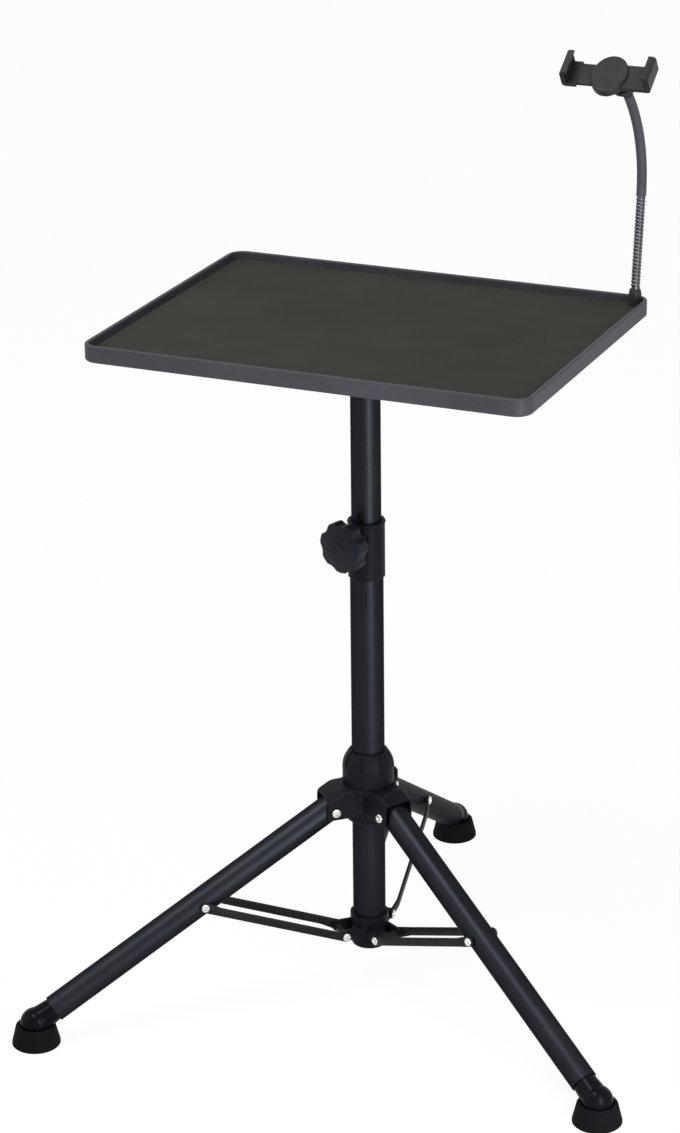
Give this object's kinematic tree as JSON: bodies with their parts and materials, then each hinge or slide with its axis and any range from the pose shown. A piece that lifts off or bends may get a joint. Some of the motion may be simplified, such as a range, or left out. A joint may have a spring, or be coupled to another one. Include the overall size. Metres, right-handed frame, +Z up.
{
  "type": "portable tripod projector stand",
  "caption": "Portable tripod stand: rimmed tray on a telescoping mast with a clamp knob, folding braced legs with rubber feet, and a flexible phone arm on the tray.",
  "frame": {"origin": "on the floor under the column axis, at the level of the feet's undersides", "axes": "+Z up along the column, -Y towards the tray's front, X along the tray's long side"},
  "size_m": [0.5193, 0.5445, 0.8073],
  "materials": {
    "tube_paint": "semi-gloss black powder coat",
    "bar_paint": "black paint",
    "rivet_steel": "bright plated",
    "screw_steel": "zinc plated",
    "ankle_plastic": "glossy black",
    "foot_rubber": "matte black",
    "moulded_plastic": "moulded black",
    "knob_plastic": "moulded black",
    "tray_plastic": "satin slate grey",
    "mat_rubber": "fine grained dark mat",
    "neck_metal": "dark plated coil",
    "neck_sleeve": "dark grey sleeve",
    "holder_plastic": "moulded dark grey",
    "pad_rubber": "matte black"
  },
  "bodies": {
    "base": {"column_tube": "tube_paint", "clamp_collar": "moulded_plastic", "spreader_collar": "moulded_plastic"},
    "hub": {"hub": "moulded_plastic"},
    "lock_ring": {"lock_ring": "moulded_plastic"},
    "mast": {"mast_tube": "tube_paint", "tray_flange": "moulded_plastic", "tray": "tray_plastic", "tray_mat": "mat_rubber", "neck_base": "holder_plastic", "neck_ribbed": "neck_metal", "neck_sheath": "neck_sleeve", "holder_ball": "holder_plastic"},
    "clamp_knob": {"clamp_knob": "knob_plastic", "clamp_screw": "screw_steel"},
    "phone_holder": {"holder_body": "holder_plastic", "holder_pad_right": "pad_rubber"},
    "holder_jaw": {"holder_jaw": "holder_plastic", "holder_pad_left": "pad_rubber"},
    "leg_left": {"leg_tube_left": "tube_paint", "leg_rivet_left": "rivet_steel", "ankle_left": "ankle_plastic"},
    "foot_left": {"foot_left": "foot_rubber"},
    "strut_left": {"strut_bars_left": "bar_paint", "strut_rivets_left": "rivet_steel"},
    "leg_right": {"leg_tube_right": "tube_paint", "leg_rivet_right": "rivet_steel", "ankle_right": "ankle_plastic"},
    "foot_right": {"foot_right": "foot_rubber"},
    "strut_right": {"strut_bars_right": "bar_paint", "strut_rivets_right": "rivet_steel"},
    "leg_back": {"leg_tube_back": "tube_paint", "leg_rivet_back": "rivet_steel", "ankle_back": "ankle_plastic"},
    "foot_back": {"foot_back": "foot_rubber"},
    "strut_back": {"strut_bars_back": "bar_paint", "strut_rivets_back": "rivet_steel"}
  },
  "joints": [
    {"name": "tripod_fold", "type": "slide", "parent": "base", "child": "hub", "axis": [0, 0, 1], "range_m": [0, 0.14943]},
    {"name": "mast_slide", "type": "slide", "parent": "base", "child": "mast", "axis": [0, 0, -1], "range_m": [-0.25, 0.08]},
    {"name": "lock_ring_turn", "type": "hinge", "parent": "hub", "child": "lock_ring", "pos_m": [0, 0, 0.193], "axis": [0, 0, 1], "range_deg": [0, 90]},
    {"name": "clamp_knob_turn", "type": "hinge", "parent": "base", "child": "clamp_knob", "pos_m": [0, 0, 0.4142], "axis": [-0.2588, -0.9659, 0], "range_deg": [0, 360]},
    {"name": "holder_swivel", "type": "hinge", "parent": "mast", "child": "phone_holder", "pos_m": [0.17449, 0.12192, 0.78076], "axis": [0, -0.5736, 0.8192], "range_deg": [-90, 90]},
    {"name": "jaw_slide", "type": "slide", "parent": "phone_holder", "child": "holder_jaw", "axis": [-1, 0, 0], "range_m": [-0.01, 0.008]},
    {"name": "leg_left_fold", "type": "hinge", "parent": "hub", "child": "leg_left", "pos_m": [-0.02499, -0.02371, 0.174], "axis": [0.6884, -0.7254, 0], "range_deg": [0, 53.32]},
    {"name": "foot_left_tilt", "type": "hinge", "parent": "leg_left", "child": "foot_left", "pos_m": [-0.21754, -0.20644, 0.0195], "axis": [-0.6884, 0.7254, 0], "range_deg": [0, 53.32]},
    {"name": "strut_left_fold", "type": "hinge", "parent": "base", "child": "strut_left", "pos_m": [-0.0189, -0.01793, 0.0545], "axis": [-0.6884, 0.7254, 0], "range_deg": [0, 57.86]},
    {"name": "leg_right_fold", "type": "hinge", "parent": "hub", "child": "leg_right", "pos_m": [0.02998, -0.01696, 0.174], "axis": [0.4924, 0.8704, 0], "range_deg": [0, 53.32]},
    {"name": "foot_right_tilt", "type": "hinge", "parent": "leg_right", "child": "foot_right", "pos_m": [0.26103, -0.14768, 0.0195], "axis": [-0.4924, -0.8704, 0], "range_deg": [0, 53.32]},
    {"name": "strut_right_fold", "type": "hinge", "parent": "base", "child": "strut_right", "pos_m": [0.02267, -0.01283, 0.0545], "axis": [-0.4924, -0.8704, 0], "range_deg": [0, 57.86]},
    {"name": "leg_back_fold", "type": "hinge", "parent": "hub", "child": "leg_back", "pos_m": [-0.0045, 0.03415, 0.174], "axis": [-0.9914, -0.1305, 0], "range_deg": [0, 53.32]},
    {"name": "foot_back_tilt", "type": "hinge", "parent": "leg_back", "child": "foot_back", "pos_m": [-0.03915, 0.29734, 0.0195], "axis": [0.9914, 0.1305, 0], "range_deg": [0, 53.32]},
    {"name": "strut_back_fold", "type": "hinge", "parent": "base", "child": "strut_back", "pos_m": [-0.0034, 0.02583, 0.0545], "axis": [0.9914, 0.1305, 0], "range_deg": [0, 57.86]}
  ],
  "couplings": [
    {"joint": "leg_left_fold", "follows": "tripod_fold", "rad_per_m": 6.2254},
    {"joint": "foot_left_tilt", "follows": "tripod_fold", "rad_per_m": 6.2254},
    {"joint": "strut_left_fold", "follows": "tripod_fold", "rad_per_m": 6.7552},
    {"joint": "leg_right_fold", "follows": "tripod_fold", "rad_per_m": 6.2254},
    {"joint": "foot_right_tilt", "follows": "tripod_fold", "rad_per_m": 6.2254},
    {"joint": "strut_right_fold", "follows": "tripod_fold", "rad_per_m": 6.7552},
    {"joint": "leg_back_fold", "follows": "tripod_fold", "rad_per_m": 6.2254},
    {"joint": "foot_back_tilt", "follows": "tripod_fold", "rad_per_m": 6.2254},
    {"joint": "strut_back_fold", "follows": "tripod_fold", "rad_per_m": 6.7552}
  ]
}
